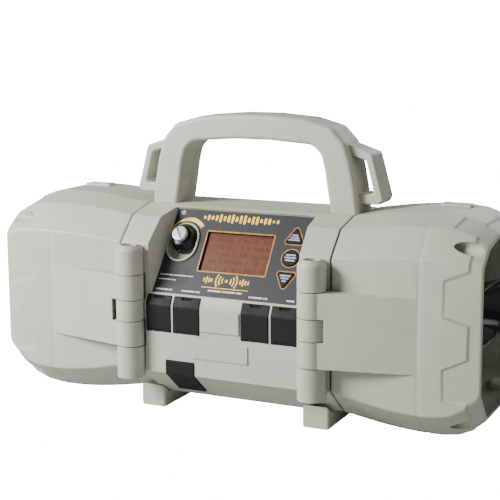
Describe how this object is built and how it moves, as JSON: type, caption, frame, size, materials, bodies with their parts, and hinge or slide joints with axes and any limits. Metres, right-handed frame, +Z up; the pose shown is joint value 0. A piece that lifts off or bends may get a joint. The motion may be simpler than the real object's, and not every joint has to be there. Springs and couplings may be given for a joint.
{
  "type": "electronic game caller",
  "caption": "Portable electronic game caller: housing with sloped screen panel and carry handle, two horn speaker pods that swing forward, rubber port covers.",
  "frame": {"origin": "on the ground under the middle of the model, between the feet", "axes": "+X to the right, as seen from the control panel's side; +Y to the back; +Z up"},
  "size_m": [0.4026, 0.172, 0.2348],
  "materials": {
    "sage_shell": "fine moulded texture",
    "black_rubber": "matt",
    "black_gloss": "glossy",
    "dark_plastic": "matt",
    "panel_film": "printed polyester film",
    "display_glass": "clear over an amber screen",
    "satin_metal": "satin",
    "steel": "plated",
    "circuit_board": "solder mask",
    "battery_wrap": "shrink sleeve"
  },
  "bodies": {
    "housing": {"housing_front": "sage_shell", "housing_rear": "sage_shell", "handle_front": "sage_shell", "handle_rear": "sage_shell", "foot_left": "sage_shell", "foot_right": "sage_shell", "knob_well": "sage_shell", "control_panel": "panel_film", "lcd_window": "display_glass", "lcd_module": "dark_plastic", "control_board": "circuit_board", "amplifier_board": "circuit_board", "heat_sink": "satin_metal", "receiver_module": "steel", "volume_pot": "steel", "key_mat": "black_rubber", "charge_jack": "dark_plastic", "speaker_jack_left": "dark_plastic", "speaker_jack_right": "dark_plastic", "usb_port": "dark_plastic", "power_socket": "dark_plastic", "battery_tray": "dark_plastic", "battery_pack": "battery_wrap", "end_plate_left": "dark_plastic", "tweeter_left": "black_gloss", "hinge_pin_left": "steel", "latch_base_left": "dark_plastic", "end_plate_right": "dark_plastic", "tweeter_right": "black_gloss", "hinge_pin_right": "steel", "latch_base_right": "dark_plastic"},
    "pod_left": {"pod_shell_left": "sage_shell", "latch_keeper_left": "dark_plastic", "horn_left": "black_gloss", "horn_baffle_left": "dark_plastic", "horn_driver_left": "steel", "horn_plug_left": "black_gloss"},
    "latch_left": {"latch_lever_left": "dark_plastic"},
    "pod_right": {"pod_shell_right": "sage_shell", "latch_keeper_right": "dark_plastic", "horn_right": "black_gloss", "horn_baffle_right": "dark_plastic", "horn_driver_right": "steel", "horn_plug_right": "black_gloss"},
    "latch_right": {"latch_lever_right": "dark_plastic"},
    "volume_control": {"volume_knob": "dark_plastic", "knob_cap": "satin_metal"},
    "up_key": {"up_key": "black_rubber"},
    "select_key": {"select_key": "black_rubber"},
    "down_key": {"down_key": "black_rubber"},
    "port_cover_outer_left": {"port_cover_outer_left": "black_rubber"},
    "port_cover_inner_left": {"port_cover_inner_left": "black_rubber"},
    "port_cover_inner_right": {"port_cover_inner_right": "black_rubber"},
    "port_cover_outer_right": {"port_cover_outer_right": "black_rubber"},
    "power_cover": {"power_cover": "black_rubber"},
    "battery_door": {"battery_door": "sage_shell"},
    "door_slider": {"door_slider": "black_rubber"}
  },
  "joints": [
    {"name": "pod_left_swing", "type": "hinge", "parent": "housing", "child": "pod_left", "pos_m": [-0.0772, -0.0751, 0.085], "axis": [0, 0, 1], "range_deg": [0, 90]},
    {"name": "latch_left_turn", "type": "hinge", "parent": "housing", "child": "latch_left", "pos_m": [-0.066, 0.0816, 0.087], "axis": [0, 0, -1], "range_deg": [0, 110]},
    {"name": "pod_right_swing", "type": "hinge", "parent": "housing", "child": "pod_right", "pos_m": [0.0772, -0.0751, 0.085], "axis": [0, 0, -1], "range_deg": [0, 90]},
    {"name": "latch_right_turn", "type": "hinge", "parent": "housing", "child": "latch_right", "pos_m": [0.066, 0.0816, 0.087], "axis": [0, 0, 1], "range_deg": [0, 110]},
    {"name": "volume_turn", "type": "hinge", "parent": "housing", "child": "volume_control", "pos_m": [-0.0469, -0.04081, 0.1377], "axis": [0, -0.8239, 0.5668], "range_deg": [-150, 150]},
    {"name": "up_key_press", "type": "slide", "parent": "housing", "child": "up_key", "axis": [0, 0.8239, -0.5668], "range_m": [0, 0.0012], "stiffness_N_per_m": 300},
    {"name": "select_key_press", "type": "slide", "parent": "housing", "child": "select_key", "axis": [0, 0.8239, -0.5668], "range_m": [0, 0.0012], "stiffness_N_per_m": 300},
    {"name": "down_key_press", "type": "slide", "parent": "housing", "child": "down_key", "axis": [0, 0.8239, -0.5668], "range_m": [0, 0.0012], "stiffness_N_per_m": 300},
    {"name": "port_cover_outer_left_open", "type": "hinge", "parent": "housing", "child": "port_cover_outer_left", "pos_m": [-0.0536, -0.0728, 0.0685], "axis": [1, 0, 0], "range_deg": [0, 100]},
    {"name": "port_cover_inner_left_open", "type": "hinge", "parent": "housing", "child": "port_cover_inner_left", "pos_m": [-0.02925, -0.0728, 0.0685], "axis": [1, 0, 0], "range_deg": [0, 100]},
    {"name": "port_cover_inner_right_open", "type": "hinge", "parent": "housing", "child": "port_cover_inner_right", "pos_m": [0.02925, -0.0728, 0.0685], "axis": [1, 0, 0], "range_deg": [0, 100]},
    {"name": "port_cover_outer_right_open", "type": "hinge", "parent": "housing", "child": "port_cover_outer_right", "pos_m": [0.0536, -0.0728, 0.0685], "axis": [1, 0, 0], "range_deg": [0, 100]},
    {"name": "power_cover_open", "type": "hinge", "parent": "housing", "child": "power_cover", "pos_m": [-0.035, -0.0728, 0.046], "axis": [-1, 0, 0], "range_deg": [0, 100]},
    {"name": "battery_door_open", "type": "hinge", "parent": "housing", "child": "battery_door", "pos_m": [0, 0.0753, 0.044], "axis": [-1, 0, 0], "range_deg": [0, 100]},
    {"name": "door_slider_slide", "type": "slide", "parent": "battery_door", "child": "door_slider", "axis": [0, 0, -1], "range_m": [0, 0.003]}
  ]
}
